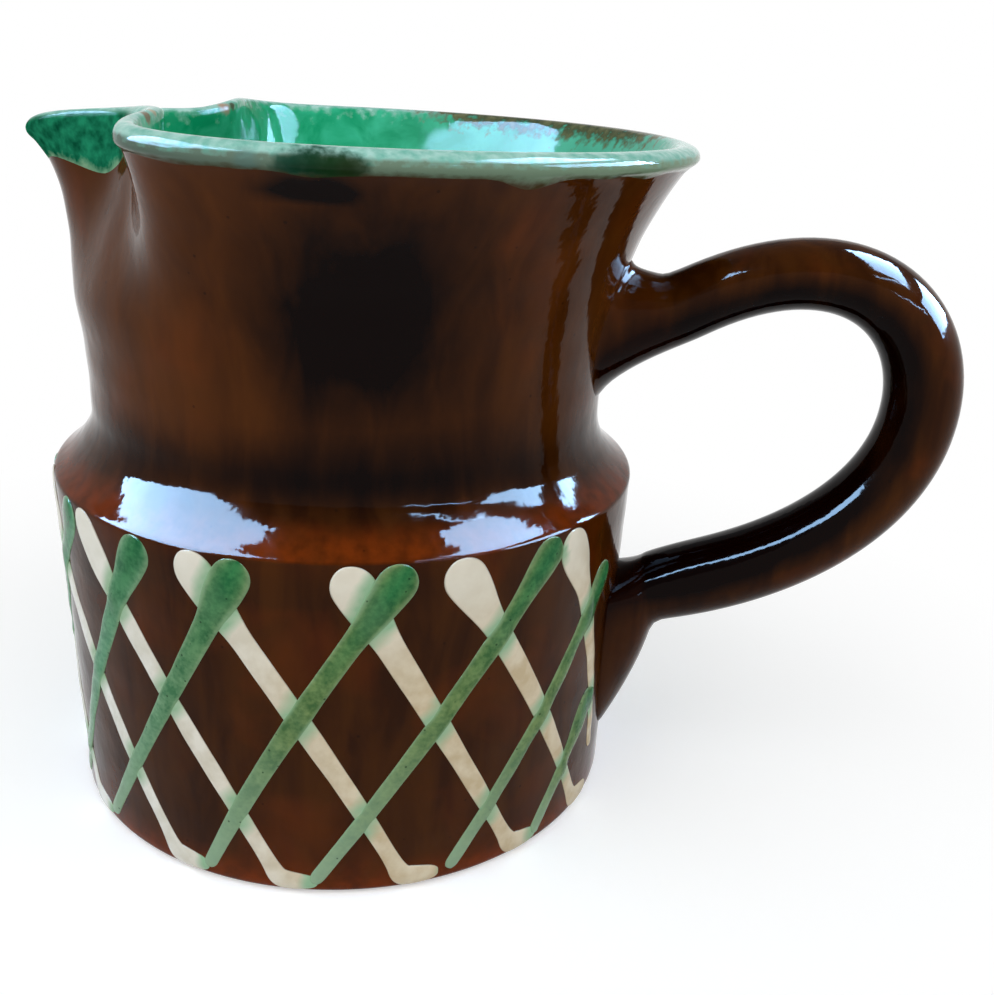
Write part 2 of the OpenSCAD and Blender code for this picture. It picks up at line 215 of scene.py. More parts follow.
# Places round the belly in even steps, lengths of run and bows of the trails, as the hand laid them
WHITE_PLACE_SHARES = [0, 0.96, 1.69, 2.75, 3.81, 4.74, 5.76, 6.74, 7.79, 8.78, 9.82, 10.74, 11.79, 12.81]
GREEN_PLACE_SHARES = [
    0, 0.96, 2.17, 3.39, 4.55, 5.35, 6.27, 7.27, 8.27, 9.2, 10.2, 11.15, 12.1, 13.05, 14.04]
WHITE_RUN_SHARES = [0.55, 0.99, 0.94, 1.05, 1.17, 1.24, 1.2, 1.05, 0.97, 1, 1.04, 0.96, 1.02, 0.98]
GREEN_RUN_SHARES = [1.36, 1.29, 1.2, 0.97, 0.95, 0.9, 0.97, 1.03, 0.98, 1.05, 0.9, 0.96, 1.04, 1, 1.02]
WHITE_BOW_SHARES = [0.8, 0.12, 0.02, 0.22, 0.22, 0.15, 0.1, 0.06, 0.1, 0.14, 0.08, 0.12, 0.06, 0.1]
GREEN_BOW_SHARES = [
    0.1, 0.1, 0.08, 0.2, -0.12, 0.05, 0.08, 0.02, 0.1, 0.05, 0.12, 0.04, 0.08, 0.1, 0.05]
Slip = namedtuple("Slip", "drop_w width foot_w height")
WHITE_SLIP = Slip(6.6 * MM, 4.7 * MM, 2.2 * MM, 0.32 * MM)
GREEN_SLIP = Slip(6.2 * MM, 4.2 * MM, 2.3 * MM, 0.34 * MM)
# How much wider the dragged foot of a white trail spreads
FOOT_BLOB = 1.7 * MM
DOME_POWER = 1.4
# How unevenly the hand squeezes the slip, over what length, and the rows of noise that it follows
SQUEEZE_SHARE = 0.1
SQUEEZE_LENGTH = 9 * MM
WHITE_SEED = 0.5
GREEN_SEED = 40.5
# How far copper from the green slip spreads into the white slip beside it
COPPER_REACH = 2.8 * MM

# Counts of points, and the distance within which points are welded
ROUND_N = 180
FOOT_ROUND_N = 5
BELLY_N = 22
SHELF_N = 16
NECK_N = 24
INSIDE_N = 20
CORNER_N = 6
BEAD_N = 9
BAR_N = 28
BAR_RINGS = 40
BLEND_N = 6
TRAIL_N = 36
FOOT_N = 14
DOME_N = 16
MIDDLE_N = 80
WELD = 0.001 * MM

# How strongly the glazes mirror their surroundings
GLAZE_IOR = 1.5
BROWN_SPECULAR = 0.06
GREEN_SPECULAR = 0.04

# Where the brown glaze drains thin: over the shoulder's edge, at the foot, on the lip's ridges
EDGE_BELOW = 0.2 * MM
EDGE_FULL = 1 * MM
EDGE_FADE = 4 * MM
BELOW_SHARE = 0.1
BELOW_REACH = 2 * MM
FOOT_THIN_Z = 1 * MM
FOOT_THIN_REACH = 3 * MM
RIDGE_SHARE = 0.12
RIDGE_ANGLE = radians(19)
RIDGE_SPREAD = radians(5)
# Where the brown is painted darker: a painted dark reflection on the front of the neck and on the waist
# below it, a dark band under the rim, and the waist's hollow
DarkPatch = namedtuple("DarkPatch", "strength angle spread z reach")
PAINTED_DARK_PATCHES = [
    DarkPatch(1.25, radians(99), radians(23), 88 * MM, 18 * MM),
    DarkPatch(0.75, radians(103), radians(30), 69 * MM, 8 * MM),
    DarkPatch(1.6, radians(90.5), radians(8), 105 * MM, 1.9 * MM),
]
HOLLOW_SHARE = 0.4
HOLLOW_Z = 65 * MM
HOLLOW_REACH = 3 * MM
# Where a lighter brown is painted: a painted reflection on the neck, most towards the lip, and a little at
# the foot
LIGHT_FROM_Z = 66 * MM
LIGHT_FADE = 8 * MM
LIGHT_SHARE = 0.4
LIGHT_LIP_SHARE = 0.4
LIGHT_ANGLE = radians(70)
LIGHT_SPREAD = radians(30)
LIGHT_FOOT_SHARE = 0.05
LIGHT_FOOT_Z = 26 * MM


def clamp(value):
    return min(1, max(0, value))


def mix(first, second, share):
    return first + (second - first) * share


def ease(share):
    return (1 - cos(pi * clamp(share))) / 2


def hump(distance, spread):
    return exp(-((distance / spread) ** 2))


def evenly(first, last, count):
    return [mix(first, last, number / count) for number in range(count + 1)]


def wrapped(angle):
    return angle - tau * round(angle / tau)


# Shape of the clay
def plain_r(z):
    """Radius of the plain thrown jug: swelling belly, shoulder, waist, flared neck."""
    belly = FOOT_R + (BELLY_R - FOOT_R) * clamp(z / SHOULDER_Z) ** SWELL_POWER
    flare = (RIM_R - WAIST_R) * (max(0, z - WAIST_Z) / (RIM_Z - WAIST_Z)) ** FLARE_POWER
    turned_in = 1 - (1 - clamp((z - SHOULDER_Z) / (WAIST_Z - SHOULDER_Z))) ** SHOULDER_POWER
    return mix(belly, WAIST_R, turned_in) + flare


def unevenness(turn, z):
    """Spiral throwing ridges and soft dents, which die away at the foot's flat and under the rim."""
    where = Vector((BELLY_R * cos(turn), BELLY_R * sin(turn), z)) / DENT_SIZE
    ridge = THROW_DEPTH * sin(tau * z / THROW_PITCH + turn)
    shelf = SHELF_DEPTH * sin(tau * z / SHELF_PITCH + turn) * hump(z - SHELF_Z, SHELF_PITCH)
    calm = clamp(z / THROW_PITCH) * clamp((BEAD_Z - z) / THROW_PITCH - 1 / 2)
    return (ridge + shelf + DENT_DEPTH * noise.noise(where)) * calm


def clay_r(turn, z):
    return plain_r(z) + unevenness(turn, z)


def fade(z):
    """How much of the lip's pinching reaches a height: none at its start, all of it from the bead up."""
    return clamp((z - PINCH_Z) / (BEAD_Z - PINCH_Z)) ** FADE_POWER


def pushed_in(from_lip, z):
    """How far the two finger pinches and the drawn-in tip push the wall in."""
    high = fade(z)
    pinch = exp(-((abs(abs(from_lip) - PINCH_ANGLE) / PINCH_SPREAD) ** EDGE_POWER))
    tip = hump(from_lip, TIP_SPREAD) * (1 - LIP_THROW_SHARE * high ** EDGE_POWER)
    return high * (PINCH_IN * pinch + LIP_IN * tip)


def lifted(from_lip, z):
    """How far the rim rises beside the lip and droops at its tip."""
    if from_lip > 0:
        rise = NEAR_LIFT * sin(from_lip) + NEAR_RISE * hump(from_lip - NEAR_ANGLE, NEAR_SPREAD)
    else:
        rise = FAR_RISE * hump(-from_lip - FAR_ANGLE, FAR_SPREAD)
    return fade(z) * (rise - LIP_DROP * hump(from_lip, DROOP_SPREAD))


def pinched(r, turn, z):
    """Place of a turned point after the lip is pinched into the soft rim."""
    from_lip = wrapped(turn - LIP_TURN)
    r = r - pushed_in(from_lip, z)
    return Vector((r * cos(turn), r * sin(turn), z + lifted(from_lip, z)))


# Making meshes
def placed(bm, name, materials):
    """Makes a bmesh an object of the scene."""
    mesh = bpy.data.meshes.new(name)
    bm.to_mesh(mesh)
    bm.free()
    for material in materials:
        mesh.materials.append(material)
    piece = bpy.data.objects.new(name, mesh)
    bpy.context.scene.collection.objects.link(piece)
    return piece


def finished(bm, name, materials):
    """Closes a bmesh into a smooth piece that stands for the solid of the same name."""
    bmesh.ops.remove_doubles(bm, verts=bm.verts, dist=WELD)
    bmesh.ops.recalc_face_normals(bm, faces=bm.faces)
    piece = placed(bm, name + "_glazed", materials)
    piece.data.shade_smooth()
    rounding = piece.modifiers.new("rounding", "SUBSURF")
    rounding.levels = 1
    rounding.render_levels = 1
    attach(piece, "root")
    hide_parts(name)
    return piece


def thrown(outline):
    """Draws an outline of (radius, height) points, ready to be spun."""
    bm = bmesh.new()
    corners = [bm.verts.new((r, 0, z)) for r, z in outline]
    for first, second in zip(corners, corners[1:]):
        bm.edges.new((first, second))
    return bm


def spun(bm):
    """Turns an outline round the jug's axis."""
    bmesh.ops.spin(bm, geom=bm.verts[:] + bm.edges[:], axis=(0, 0, 1), cent=(0, 0, 0),
                   angle=tau, steps=ROUND_N, use_merge=True)
    bmesh.ops.remove_doubles(bm, verts=bm.verts, dist=WELD)


def swept(stations, count, place):
    """Extrudes a ring from station to station and closes its ends. place(station, turn) gives each
    point its place and its marks."""
    bm = bmesh.new()
    turn = bm.verts.layers.float.new("turn")
    marks = bm.verts.layers.float_color.new("marks")
    ring = bmesh.ops.create_circle(bm, segments=count, radius=1)["verts"]
    for vertex in ring:
        vertex[turn] = atan2(vertex.co.y, vertex.co.x)
    edges = bm.edges[:]
    rings = []
    for number, station in enumerate([stations[0]] + stations + [stations[-1]]):
        if number:
            grown = bmesh.ops.extrude_edge_only(bm, edges=edges)["geom"]
            ring = [part for part in grown if isinstance(part, bmesh.types.BMVert)]
            edges = [part for part in grown if isinstance(part, bmesh.types.BMEdge)]
        for vertex in ring:
            vertex.co, vertex[marks] = place(station, vertex[turn])
        rings.append(ring)
    for ring in (rings[0], rings[-1]):
        centre = sum((vertex.co for vertex in ring), Vector()) / count
        bmesh.ops.pointmerge(bm, verts=ring, merge_co=centre)
    bm.verts.layers.float.remove(bm.verts.layers.float["turn"])
    return bm


# Nodes of the finishes
def linear(code):
    """Linear colour from an sRGB hex code."""
    parts = [int(code[start:start + 2], 16) / 255 for start in (1, 3, 5)]
    return [part / 12.92 if part <= 0.04045 else ((part + 0.055) / 1.055) ** 2.4 for part in parts] + [1]


def feed(tree, made, inputs):
    """Links or sets the inputs of a node."""
    for key, value in inputs.items():
        if isinstance(value, bpy.types.NodeSocket):
            tree.links.new(value, made.inputs[key])
        else:
            made.inputs[key].default_value = value


def node(tree, kind, inputs=None, out=0, **settings):
    """Adds a node, sets its properties, feeds its inputs and gives one of its outputs."""
    made = tree.nodes.new("ShaderNode" + kind)
    for name, value in settings.items():
        setattr(made, name, value)
    feed(tree, made, inputs or {})
    return made.outputs[out]


# Makes a Mix node mix colours
TINTS = {"out": 2, "data_type": "RGBA"}


def per(size):
    """Scale of a pattern whose grain has a real size."""
    return 1 / size


def finish_tree(name):
    material = bpy.data.materials.new(name)
    material.use_nodes = True
    return material, material.node_tree, material.node_tree.nodes["Principled BSDF"]


def painted_marks(tree):
    """The four marks that each point of a piece carries."""
    marks = node(tree, "Attribute", attribute_name="marks").node.outputs
    split = node(tree, "SeparateColor", {"Color": marks["Color"]}).node.outputs
    return split["Red"], split["Green"], split["Blue"], marks["Alpha"]


def iron_brown_glaze():
    """Iron-brown lead glaze over red earthenware: warm brown, lighter where a reflection is painted on the
    neck, near black where painted shade and a painted dark reflection lie, amber where it drains thin off
    an edge, drifting in soft vertical streaks, glossy, with a few fine pinholes."""
    material, tree, shader = finish_tree("iron_brown_lead_glaze")
    place = node(tree, "TexCoord", out="Object")
    # Marks: amber where thin, then painted shade and a painted dark reflection, then a painted lighter
    # reflection
    thin, painted_dark, light, _ = painted_marks(tree)
    drift = node(tree, "TexNoise", {"Vector": place, "Scale": per(26 * MM), "Detail": 3})
    tall = node(tree, "Mapping", {"Vector": place, "Scale": (1, 1, 0.25)})
    streak = node(tree, "TexNoise", {"Vector": tall, "Scale": per(5 * MM), "Detail": 4, "Distortion": 0.5})
    warm_share = node(tree, "MapRange", {"Value": streak, "From Min": 0.35, "From Max": 0.65})
    plain = node(tree, "Mix", {0: warm_share, 6: linear("#331602"), 7: linear("#442204")}, **TINTS)
    # Painted reflection: a lighter brown where the neck would mirror bright surroundings
    warm = node(tree, "Mix", {0: light, 6: plain, 7: linear("#5e310c")}, **TINTS)
    cloud = node(tree, "Math", {0: drift, 1: streak}, operation="ADD")
    uneven = node(tree, "MapRange", {"Value": cloud, "From Min": 0.7, "From Max": 1.3, "To Min": 0.22,
        "To Max": -0.22})
    depth = node(tree, "Math", {0: painted_dark, 1: uneven}, operation="ADD")
    darkened = node(tree, "MapRange", {"Value": depth, "From Min": 0, "From Max": 1})
    # Painted shade and painted dark reflection: near black where the second mark is high
    brown = node(tree, "Mix", {0: darkened, 6: warm, 7: linear("#0b0100")}, **TINTS)
    grain = node(tree, "TexNoise", {"Vector": place, "Scale": per(2.4 * MM), "Detail": 3})
    worn = node(tree, "MapRange", {"Value": grain, "From Min": 0.35, "From Max": 0.65, "To Min": 0.45,
        "To Max": 1})
    patch = node(tree, "TexNoise", {"Vector": place, "Scale": per(13 * MM), "Detail": 4, "Distortion": 0.4})
    patchy = node(tree, "MapRange", {"Value": patch, "From Min": 0.5, "From Max": 0.72})
    drained = node(tree, "MapRange", {"Value": darkened, "From Max": 0.5, "To Min": 0.3, "To Max": 0})
    bare = node(tree, "Math", {0: patchy, 1: drained}, operation="MULTIPLY")
    amber_share = node(tree, "Math", {0: thin, 1: worn, 2: bare}, operation="MULTIPLY_ADD", use_clamp=True)
    amber = node(tree, "Mix", {0: amber_share, 6: brown, 7: linear("#6e2c05")}, **TINTS)
    cells = node(tree, "TexVoronoi", {"Vector": place, "Scale": per(4.2 * MM)})
    pinhole = node(tree, "MapRange", {"Value": cells, "From Min": 0.04, "From Max": 0.07, "To Min": 0.5,
        "To Max": 0})
    colour = node(tree, "Mix", {0: pinhole, 6: amber, 7: linear("#0c0502")}, **TINTS)
    smear = node(tree, "MapRange", {"Value": streak, "From Min": 0.3, "From Max": 0.7, "To Min": 0.04,
        "To Max": 0.1})
    peel = node(tree, "TexNoise", {"Vector": place, "Scale": per(5 * MM), "Detail": 3})
    ripple = node(tree, "Bump", {"Height": peel, "Strength": 0.45, "Distance": 0.25 * MM})
    feed(tree, shader, {"Base Color": colour, "Roughness": smear, "Normal": ripple, "IOR": GLAZE_IOR,
        "Specular IOR Level": BROWN_SPECULAR})
    return material


def bare_earthenware():
    """Unglazed red earthenware under the foot: matt, sandy, with wire-cut drag lines and glaze smears."""
    material, tree, shader = finish_tree("bare_red_earthenware")
    place = node(tree, "TexCoord", out="Object")
    sand = node(tree, "TexNoise", {"Vector": place, "Scale": per(0.9 * MM), "Detail": 4})
    drift = node(tree, "TexNoise", {"Vector": place, "Scale": per(14 * MM), "Detail": 3})
    body = node(tree, "Mix", {0: sand, 6: linear("#8a4a2e"), 7: linear("#b5714c")}, **TINTS)
    smear = node(tree, "MapRange", {"Value": drift, "From Min": 0.52, "From Max": 0.66, "To Max": 0.7})
    colour = node(tree, "Mix", {0: smear, 6: body, 7: linear("#5b3320")}, **TINTS)
    lines = node(tree, "TexWave", {"Vector": place, "Scale": per(20 * MM), "Distortion": 1.2}, out="Fac")
    dragged = node(tree, "Bump", {"Height": lines, "Strength": 0.4, "Distance": 0.3 * MM})
    grit = node(tree, "Bump", {"Height": sand, "Normal": dragged, "Strength": 0.5, "Distance": 0.15 * MM})
    feed(tree, shader, {"Base Color": colour, "Roughness": 0.85, "Normal": grit})
    return material


def copper_green_glaze(spots):
    """Copper-green lead glaze over white slip inside the jug: mottled emerald that turns minty towards the
    handle, pale mint over the rim's bead, grey-green where it thins out below it, deep emerald on the lip,
    brown at the back of the rim, with chips and darker runs at the given spots."""
    material, tree, shader = finish_tree("copper_green_lead_glaze")
    place = node(tree, "TexCoord", out="Object")
    pale, lip, fringe, apron = painted_marks(tree)
    drift = node(tree, "TexNoise", {"Vector": place, "Scale": per(7 * MM), "Detail": 4, "Distortion": 0.6})
    mottle = node(tree, "TexNoise", {"Vector": place, "Scale": per(1.6 * MM), "Detail": 3})
    speck = node(tree, "MapRange", {"Value": mottle, "From Min": 0.3, "From Max": 0.7})
    ragged = node(tree, "Math", {0: mottle, 1: 0.5}, operation="SUBTRACT")
    cloud = node(tree, "MapRange", {"Value": drift, "From Min": 0.36, "From Max": 0.66})
    across = node(tree, "SeparateXYZ", {"Vector": place})
    minty = node(tree, "MapRange", {"Value": across, "From Min": -15 * MM, "From Max": 50 * MM,
        "To Max": 0.75})
    emerald = node(tree, "Mix", {0: cloud, 6: linear("#0f9a66"), 7: linear("#3fc092")}, **TINTS)
    inside_wall = node(tree, "Mix", {0: minty, 6: emerald, 7: linear("#70c4ad")}, **TINTS)
    mint = node(tree, "Mix", {0: speck, 6: linear("#72b8a4"), 7: linear("#b4dccf")}, **TINTS)
    pale_edge = node(tree, "Math", {0: ragged, 1: 0.9, 2: pale}, operation="MULTIPLY_ADD")
    pale_share = node(tree, "MapRange", {"Value": pale_edge, "From Min": 0.3, "From Max": 0.75})
    topped = node(tree, "Mix", {0: pale_share, 6: inside_wall, 7: mint}, **TINTS)
    thinned = node(tree, "Mix", {0: minty, 6: linear("#5f7266"), 7: linear("#8ba585")}, **TINTS)
    thin_edge = node(tree, "Math", {0: ragged, 1: 0.5, 2: apron}, operation="MULTIPLY_ADD")
    thin_share = node(tree, "MapRange", {"Value": thin_edge, "From Min": 0.13, "From Max": 0.36})
    stripped = node(tree, "Mix", {0: thin_share, 6: topped, 7: thinned}, **TINTS)
    brown_share = node(tree, "MapRange", {"Value": thin_edge, "From Min": 0.6, "From Max": 0.95})
    edged = node(tree, "Mix", {0: brown_share, 6: stripped, 7: linear("#4a3d26")}, **TINTS)
    deep = node(tree, "Mix", {0: speck, 6: linear("#0a5036"), 7: linear("#249068")}, **TINTS)
    drained = node(tree, "MapRange", {"Value": thin_edge, "From Min": 0.87, "From Max": 1.06,
        "To Max": 0.8})
    lip_coat = node(tree, "Mix", {0: drained, 6: deep, 7: linear("#8fb08d")}, **TINTS)
    lipped = node(tree, "Mix", {0: lip, 6: edged, 7: lip_coat}, **TINTS)
    fringe_edge = node(tree, "Math", {0: ragged, 1: 1.3, 2: fringe}, operation="MULTIPLY_ADD")
    fringe_share = node(tree, "MapRange", {"Value": fringe_edge, "From Min": 0.4, "From Max": 0.7,
        "To Max": 0.95})
    olive = node(tree, "Mix", {0: speck, 6: linear("#1d2114"), 7: linear("#6e6a44")}, **TINTS)
    colour = node(tree, "Mix", {0: fringe_share, 6: lipped, 7: olive}, **TINTS)
    for spot, size, tint, strength in spots:
        away = node(tree, "VectorMath", {0: place, 1: spot}, out="Value", operation="DISTANCE")
        ragged_away = node(tree, "Math", {0: ragged, 1: size, 2: away}, operation="MULTIPLY_ADD")
        within = node(tree, "MapRange", {"Value": ragged_away, "From Min": size / 2, "From Max": size,
            "To Min": strength, "To Max": 0})
        colour = node(tree, "Mix", {0: within, 6: colour, 7: linear(tint)}, **TINTS)
    ripple = node(tree, "Bump", {"Height": drift, "Strength": 0.35, "Distance": 0.3 * MM})
    mirror = node(tree, "MapRange", {"Value": lip, "To Min": GREEN_SPECULAR, "To Max": 0})
    feed(tree, shader, {"Base Color": colour, "Roughness": 0.08, "Normal": ripple, "IOR": GLAZE_IOR,
        "Specular IOR Level": mirror})
    return material


def cream_slip():
    """White slip under clear lead glaze: cream, whiter towards the lip, browner where it is thin at its
    edges and turning mint where copper has bled into it from the green slip beside it."""
    material, tree, shader = finish_tree("cream_slip_under_lead_glaze")
    place = node(tree, "TexCoord", out="Object")
    crown, along, copper, _ = painted_marks(tree)
    drift = node(tree, "TexNoise", {"Vector": place, "Scale": per(3 * MM), "Detail": 4})
    shade = node(tree, "MapRange", {"Value": drift, "From Min": 0.35, "From Max": 0.65})
    across = node(tree, "SeparateXYZ", {"Vector": place})
    tan_share = node(tree, "MapRange", {"Value": across, "From Min": -28 * MM, "From Max": 14 * MM})
    white = node(tree, "Mix", {0: shade, 6: linear("#e4e4d8"), 7: linear("#f6f6ef")}, **TINTS)
    tan = node(tree, "Mix", {0: shade, 6: linear("#cfba96"), 7: linear("#e2d3b6")}, **TINTS)
    cream = node(tree, "Mix", {0: tan_share, 6: white, 7: tan}, **TINTS)
    drop_share = node(tree, "MapRange", {"Value": along, "From Min": 0.05, "From Max": 0.35, "To Min": 0.7,
        "To Max": 0})
    thick = node(tree, "Mix", {0: drop_share, 6: cream, 7: linear("#efeada")}, **TINTS)
    ragged = node(tree, "Math", {0: drift, 1: 0.5}, operation="SUBTRACT")
    bleed = node(tree, "Math", {0: ragged, 1: 0.6, 2: copper}, operation="MULTIPLY_ADD")
    bled_share = node(tree, "MapRange", {"Value": bleed, "From Min": 0.2, "From Max": 1})
    bled = node(tree, "Mix", {0: bled_share, 6: thick, 7: linear("#98bd96")}, **TINTS)
    edge = node(tree, "MapRange", {"Value": crown, "From Min": 0, "From Max": 0.4, "To Min": 0.8,
        "To Max": 0})
    colour = node(tree, "Mix", {0: edge, 6: bled, 7: linear("#7a5f3d")}, **TINTS)
    ripple = node(tree, "Bump", {"Height": drift, "Strength": 0.25, "Distance": 0.2 * MM})
    feed(tree, shader, {"Base Color": colour, "Roughness": 0.1, "Normal": ripple, "IOR": GLAZE_IOR,
        "Specular IOR Level": BROWN_SPECULAR})
    return material


def copper_slip():
    """Copper-stained slip under clear lead glaze: leaf green, emerald in the thick middles of the drops,
    paler at its edges, minty over the white slip, sage towards the foot, pricked with dark pinholes."""
    material, tree, shader = finish_tree("copper_green_slip_under_lead_glaze")
    place = node(tree, "TexCoord", out="Object")
    crown, along, lap, _ = painted_marks(tree)
    drift = node(tree, "TexNoise", {"Vector": place, "Scale": per(3.2 * MM), "Detail": 4})
    grain = node(tree, "TexNoise", {"Vector": place, "Scale": per(0.8 * MM), "Detail": 2})
    grainy = node(tree, "Mix", {0: 0.35, 2: drift, 3: grain})
    shade = node(tree, "MapRange", {"Value": grainy, "From Min": 0.36, "From Max": 0.64})
    across = node(tree, "SeparateXYZ", {"Vector": place})
    leafy = node(tree, "MapRange", {"Value": across, "From Min": -35 * MM, "From Max": 5 * MM})
    cool = node(tree, "Mix", {0: shade, 6: linear("#3c8560"), 7: linear("#70ad8b")}, **TINTS)
    leaf = node(tree, "Mix", {0: shade, 6: linear("#44683a"), 7: linear("#779058")}, **TINTS)
    green = node(tree, "Mix", {0: leafy, 6: cool, 7: leaf}, **TINTS)
    drop = node(tree, "MapRange", {"Value": along, "From Min": 0.08, "From Max": 0.4, "To Min": 0.9,
        "To Max": 0})
    thick = node(tree, "MapRange", {"Value": crown, "From Min": 0.5, "From Max": 1})
    drop_share = node(tree, "Math", {0: drop, 1: thick}, operation="MULTIPLY")
    emerald = node(tree, "Mix", {0: shade, 6: linear("#125f36"), 7: linear("#2d7f49")}, **TINTS)
    dropped = node(tree, "Mix", {0: drop_share, 6: green, 7: emerald}, **TINTS)
    sage_share = node(tree, "MapRange", {"Value": along, "From Min": 0.5, "From Max": 1, "To Max": 0.85})
    saged = node(tree, "Mix", {0: sage_share, 6: dropped, 7: linear("#9ab595")}, **TINTS)
    edge = node(tree, "MapRange", {"Value": crown, "From Min": 0.15, "From Max": 0.75, "To Min": 1,
        "To Max": 0})
    edge_share = node(tree, "Math", {0: edge, 1: 0.5}, operation="MULTIPLY")
    edged = node(tree, "Mix", {0: edge_share, 6: saged, 7: linear("#97b088")}, **TINTS)
    lap_edge = node(tree, "MapRange", {"Value": edge, "To Min": 0.12, "To Max": 1})
    lap_share = node(tree, "Math", {0: lap, 1: lap_edge}, operation="MULTIPLY")
    lapped = node(tree, "Mix", {0: lap_share, 6: edged, 7: linear("#8ab085")}, **TINTS)
    cells = node(tree, "TexVoronoi", {"Vector": place, "Scale": per(1.9 * MM)})
    pinhole = node(tree, "MapRange", {"Value": cells, "From Min": 0.07, "From Max": 0.12, "To Min": 0.7,
        "To Max": 0})
    colour = node(tree, "Mix", {0: pinhole, 6: lapped, 7: linear("#16331f")}, **TINTS)
    ripple = node(tree, "Bump", {"Height": drift, "Strength": 0.25, "Distance": 0.2 * MM})
    feed(tree, shader, {"Base Color": colour, "Roughness": 0.1, "Normal": ripple, "IOR": GLAZE_IOR,
        "Specular IOR Level": BROWN_SPECULAR})
    return material


# Making the thrown body
def bead_point(angle, skin):
    """Radius and height on the rim's bead by the angle round it, skin outside the clay."""
    half_w = WALL_T / 2 - (0 if cos(angle) < 0 else LINING_T - BEAD_OUT) + skin
    half_h = BEAD_H / 2 - LINING_T + skin
    return plain_r(BEAD_Z) - WALL_T / 2 + half_w * cos(angle), BEAD_Z + half_h * sin(angle)


def corner(skin):
    """Rounded corner between the inside wall and the floor."""
    middle_r = plain_r(FLOOR_T + FLOOR_ROUND) - WALL_T - FLOOR_ROUND
    radius = FLOOR_ROUND - skin
    return [(middle_r + radius * cos(angle), FLOOR_T + FLOOR_ROUND - radius * sin(angle))
            for angle in evenly(0, pi / 2, CORNER_N)]


def inside(skin):
    """Outline from the bead's inner side down the wall and over the floor to the axis."""
    wall = [(plain_r(z) - WALL_T - skin, z) for z in evenly(BEAD_Z, FLOOR_T + FLOOR_ROUND, INSIDE_N)]
    rounding = corner(skin)
    floor_r, floor_z = rounding[-1]
    return wall[:-1] + rounding + [(floor_r * share, floor_z) for share in FLOOR_SHARES]


def body_piece(glaze, clay):
    foot_middle = FOOT_R - FOOT_ROUND
    sole = [(foot_middle * share, 0) for share in SOLE_SHARES]
    foot = [(foot_middle + FOOT_ROUND * cos(angle), FOOT_ROUND + FOOT_ROUND * sin(angle))
            for angle in evenly(-pi / 2, 0, FOOT_ROUND_N)]
    heights = evenly(FOOT_ROUND, SHOULDER_Z - EDGE_ROUND, BELLY_N)
    heights += [SHOULDER_Z - EDGE_ROUND / 3, SHOULDER_Z + EDGE_ROUND / 3]
    heights += evenly(SHOULDER_Z + EDGE_ROUND, WAIST_Z, SHELF_N)
    heights += evenly(WAIST_Z, RIM_Z - BEAD_H, NECK_N)[1:]
    wall = [(plain_r(z), z) for z in heights]
    bead = [bead_point(angle, 0) for angle in evenly(BEAD_UNDER, BEAD_INNER, BEAD_N)]
    bm = thrown(sole + foot + wall[1:] + bead + inside(0)[1:])
    outside = bm.verts.layers.int.new("outside")
    for vertex in bm.verts:
        vertex[outside] = vertex.co.x >= plain_r(vertex.co.z) - WALL_T / 4
    spun(bm)
    outside = bm.verts.layers.int["outside"]
    marks = bm.verts.layers.float_color.new("marks")
    for vertex in bm.verts:
        turn = atan2(vertex.co.y, vertex.co.x)
        r = hypot(vertex.co.x, vertex.co.y)
        z = vertex.co.z
        if vertex[outside]:
            r += unevenness(turn, z)
        vertex.co = pinched(r, turn, z)
        from_lip = wrapped(turn - LIP_TURN)
        # The second mark is painted shade and a painted dark reflection, the third a painted lighter
        # reflection
        vertex[marks] = (thin_glaze(from_lip, z), painted_dark_glaze(from_lip, z), painted_reflection_share(from_lip, z), 1)
    bm.verts.layers.int.remove(outside)
    piece = finished(bm, "jug_body", [glaze, clay])
    for face in piece.data.polygons:
        if face.normal.z < SOLE_NORMAL_Z and face.center.z < FOOT_ROUND / 2:
            face.material_index = 1


def thin_glaze(from_lip, z):
    """How thin the brown glaze has drained, so that it shows amber."""
    above = z - SHOULDER_Z
    shoulder = BELOW_SHARE * hump(above, BELOW_REACH)
    if above > -EDGE_BELOW:
        shoulder = 1 - ease((above - EDGE_FULL) / EDGE_FADE)
    foot = hump(z - FOOT_THIN_Z, FOOT_THIN_REACH)
    ridge = RIDGE_SHARE * hump(abs(from_lip) - RIDGE_ANGLE, RIDGE_SPREAD) * fade(z)
    return clamp(shoulder + foot + ridge)


def painted_dark_glaze(from_lip, z):
    """How much darker the brown is painted: a dark reflection on the neck's front, a band under the rim,
    the waist's hollow.
    """
    pools = [painted_dark.strength * hump(from_lip - painted_dark.angle, painted_dark.spread) * hump(z - painted_dark.z, painted_dark.reach)
             for painted_dark in PAINTED_DARK_PATCHES]
    return max(pools) + HOLLOW_SHARE * hump(z - HOLLOW_Z, HOLLOW_REACH)


def painted_reflection_share(from_lip, z):
    """How much lighter the brown is painted than on the belly: a painted reflection on the neck, a little
    at the foot.
    """
    neck = LIGHT_SHARE + LIGHT_LIP_SHARE * hump(from_lip - LIGHT_ANGLE, LIGHT_SPREAD)
    foot = LIGHT_FOOT_SHARE * (1 - ease(z / LIGHT_FOOT_Z))
    return ease((z - LIGHT_FROM_Z) / LIGHT_FADE) * neck + foot


# Making the green lining
def coat_share(from_lip):
    """1 where the deep green coat lies on the lip, 0 on the rest of the rim."""
    return 1 - ease((abs(from_lip) - LIP_COAT_ANGLE) / LIP_COAT_FADE)


